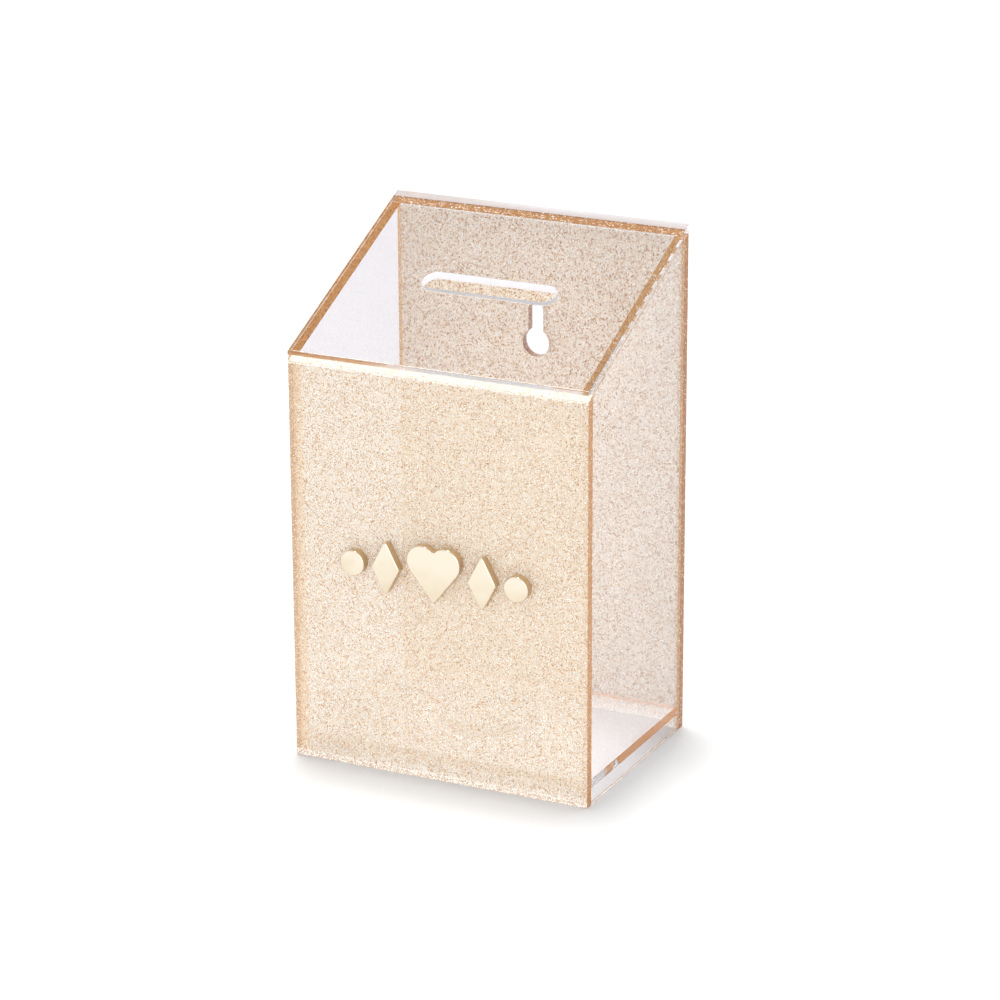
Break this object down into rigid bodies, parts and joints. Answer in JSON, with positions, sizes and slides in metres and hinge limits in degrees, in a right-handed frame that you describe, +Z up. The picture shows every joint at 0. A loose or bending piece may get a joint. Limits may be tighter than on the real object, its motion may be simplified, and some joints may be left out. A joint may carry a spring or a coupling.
{
  "type": "donation box",
  "caption": "Sheet-acrylic donation box with glitter front and back, clear sides, a sloped lid with a coin slot, a keyhole hanger and a stopper in its raised base.",
  "frame": {"origin": "middle of the footprint on the table, counting the ornaments that stand out in front", "axes": "+Z up, the front faces -Y, +X to the viewer's right when facing the front"},
  "size_m": [0.1, 0.076, 0.165],
  "materials": {
    "glitter_sheet": "polished translucent acrylic with fine gold glitter",
    "clear_sheet": "polished clear acrylic",
    "gold_mirror": "pale gold mirror acrylic",
    "soft_stopper": "milky translucent soft plastic"
  },
  "bodies": {
    "box": {"front_panel": "glitter_sheet", "back_panel": "glitter_sheet", "left_side_panel": "clear_sheet", "right_side_panel": "clear_sheet", "sloped_lid": "clear_sheet", "base_plate": "clear_sheet", "heart_ornament": "gold_mirror", "left_lozenge_ornament": "gold_mirror", "right_lozenge_ornament": "gold_mirror", "left_disc_ornament": "gold_mirror", "right_disc_ornament": "gold_mirror"},
    "stopper": {"base_stopper": "soft_stopper"}
  },
  "joints": [
    {"name": "stopper_pull", "type": "slide", "parent": "box", "child": "stopper", "axis": [0, 0, -1], "range_m": [0, 0.02]}
  ]
}
